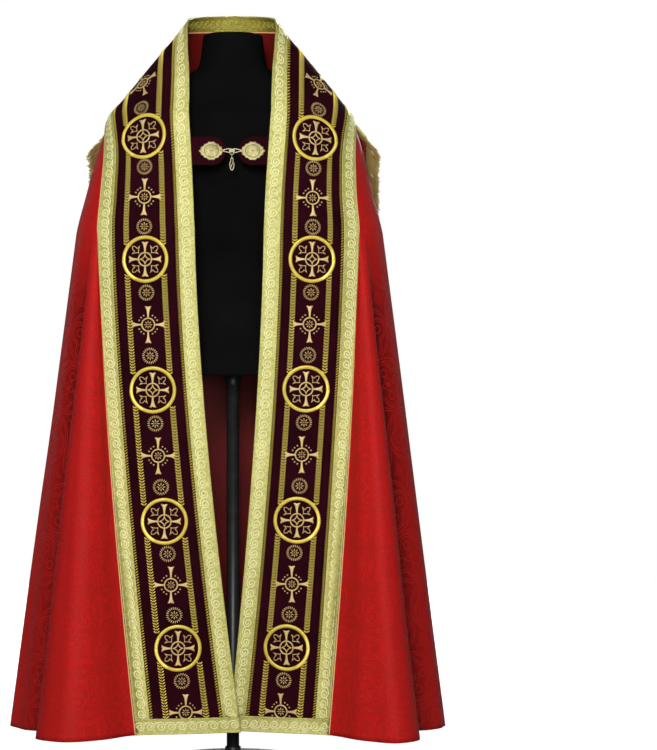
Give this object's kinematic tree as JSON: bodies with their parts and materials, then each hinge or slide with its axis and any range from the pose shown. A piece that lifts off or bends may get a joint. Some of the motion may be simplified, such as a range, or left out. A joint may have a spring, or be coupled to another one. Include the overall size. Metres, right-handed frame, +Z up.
{
  "type": "cope vestment on a limbless dress form with a round stand",
  "caption": "Long open cloak with a wide embroidered front band, shield hood at the back and a clasp, on a dress form with a round foot.",
  "frame": {"origin": "middle of the underside of the stand's round foot, on the floor", "axes": "+Z up, -Y towards the open front, +X to the right as the front is seen"},
  "size_m": [0.888, 0.496, 1.5458],
  "materials": {
    "damask": "silk damask, satin sheen",
    "velvet": "cut velvet with raised gold embroidery",
    "gold_ribbon": "woven metallic galloon",
    "lining": "satin",
    "piping": "satin cord",
    "fringe": "twisted thread fringe",
    "gilt_metal": "polished filigree",
    "form_cover": "matt jersey",
    "stand_paint": "satin black"
  },
  "bodies": {
    "worn": {"body": "damask", "orphrey_left": "velvet", "orphrey_right": "velvet", "hood": "velvet", "tab_left": "velvet", "tab_right": "velvet", "galloon_inner_left": "gold_ribbon", "galloon_inner_right": "gold_ribbon", "galloon_outer_left": "gold_ribbon", "galloon_outer_right": "gold_ribbon", "galloon_hem_left": "gold_ribbon", "galloon_hem_right": "gold_ribbon", "galloon_centre_back": "gold_ribbon", "collar_facing": "gold_ribbon", "hood_galloon_top": "gold_ribbon", "hood_galloon_inner": "gold_ribbon", "hood_galloon_outer": "gold_ribbon", "neck_lining": "lining", "piping_left": "piping", "piping_right": "piping", "hood_fringe": "fringe", "ornament_left": "gilt_metal", "ornament_right": "gilt_metal", "hook_left": "gilt_metal", "hook_right": "gilt_metal", "clasp_ring": "gilt_metal", "form_torso": "form_cover", "stand_pole": "stand_paint", "stand_foot": "stand_paint"},
    "clasp_drop": {"drop_link": "gilt_metal", "drop_claw": "gilt_metal"}
  },
  "joints": [
    {"name": "clasp_swing", "type": "hinge", "parent": "worn", "child": "clasp_drop", "pos_m": [0.0035, -0.1461, 1.242], "axis": [0, 1, 0], "range_deg": [-45, 45]}
  ]
}
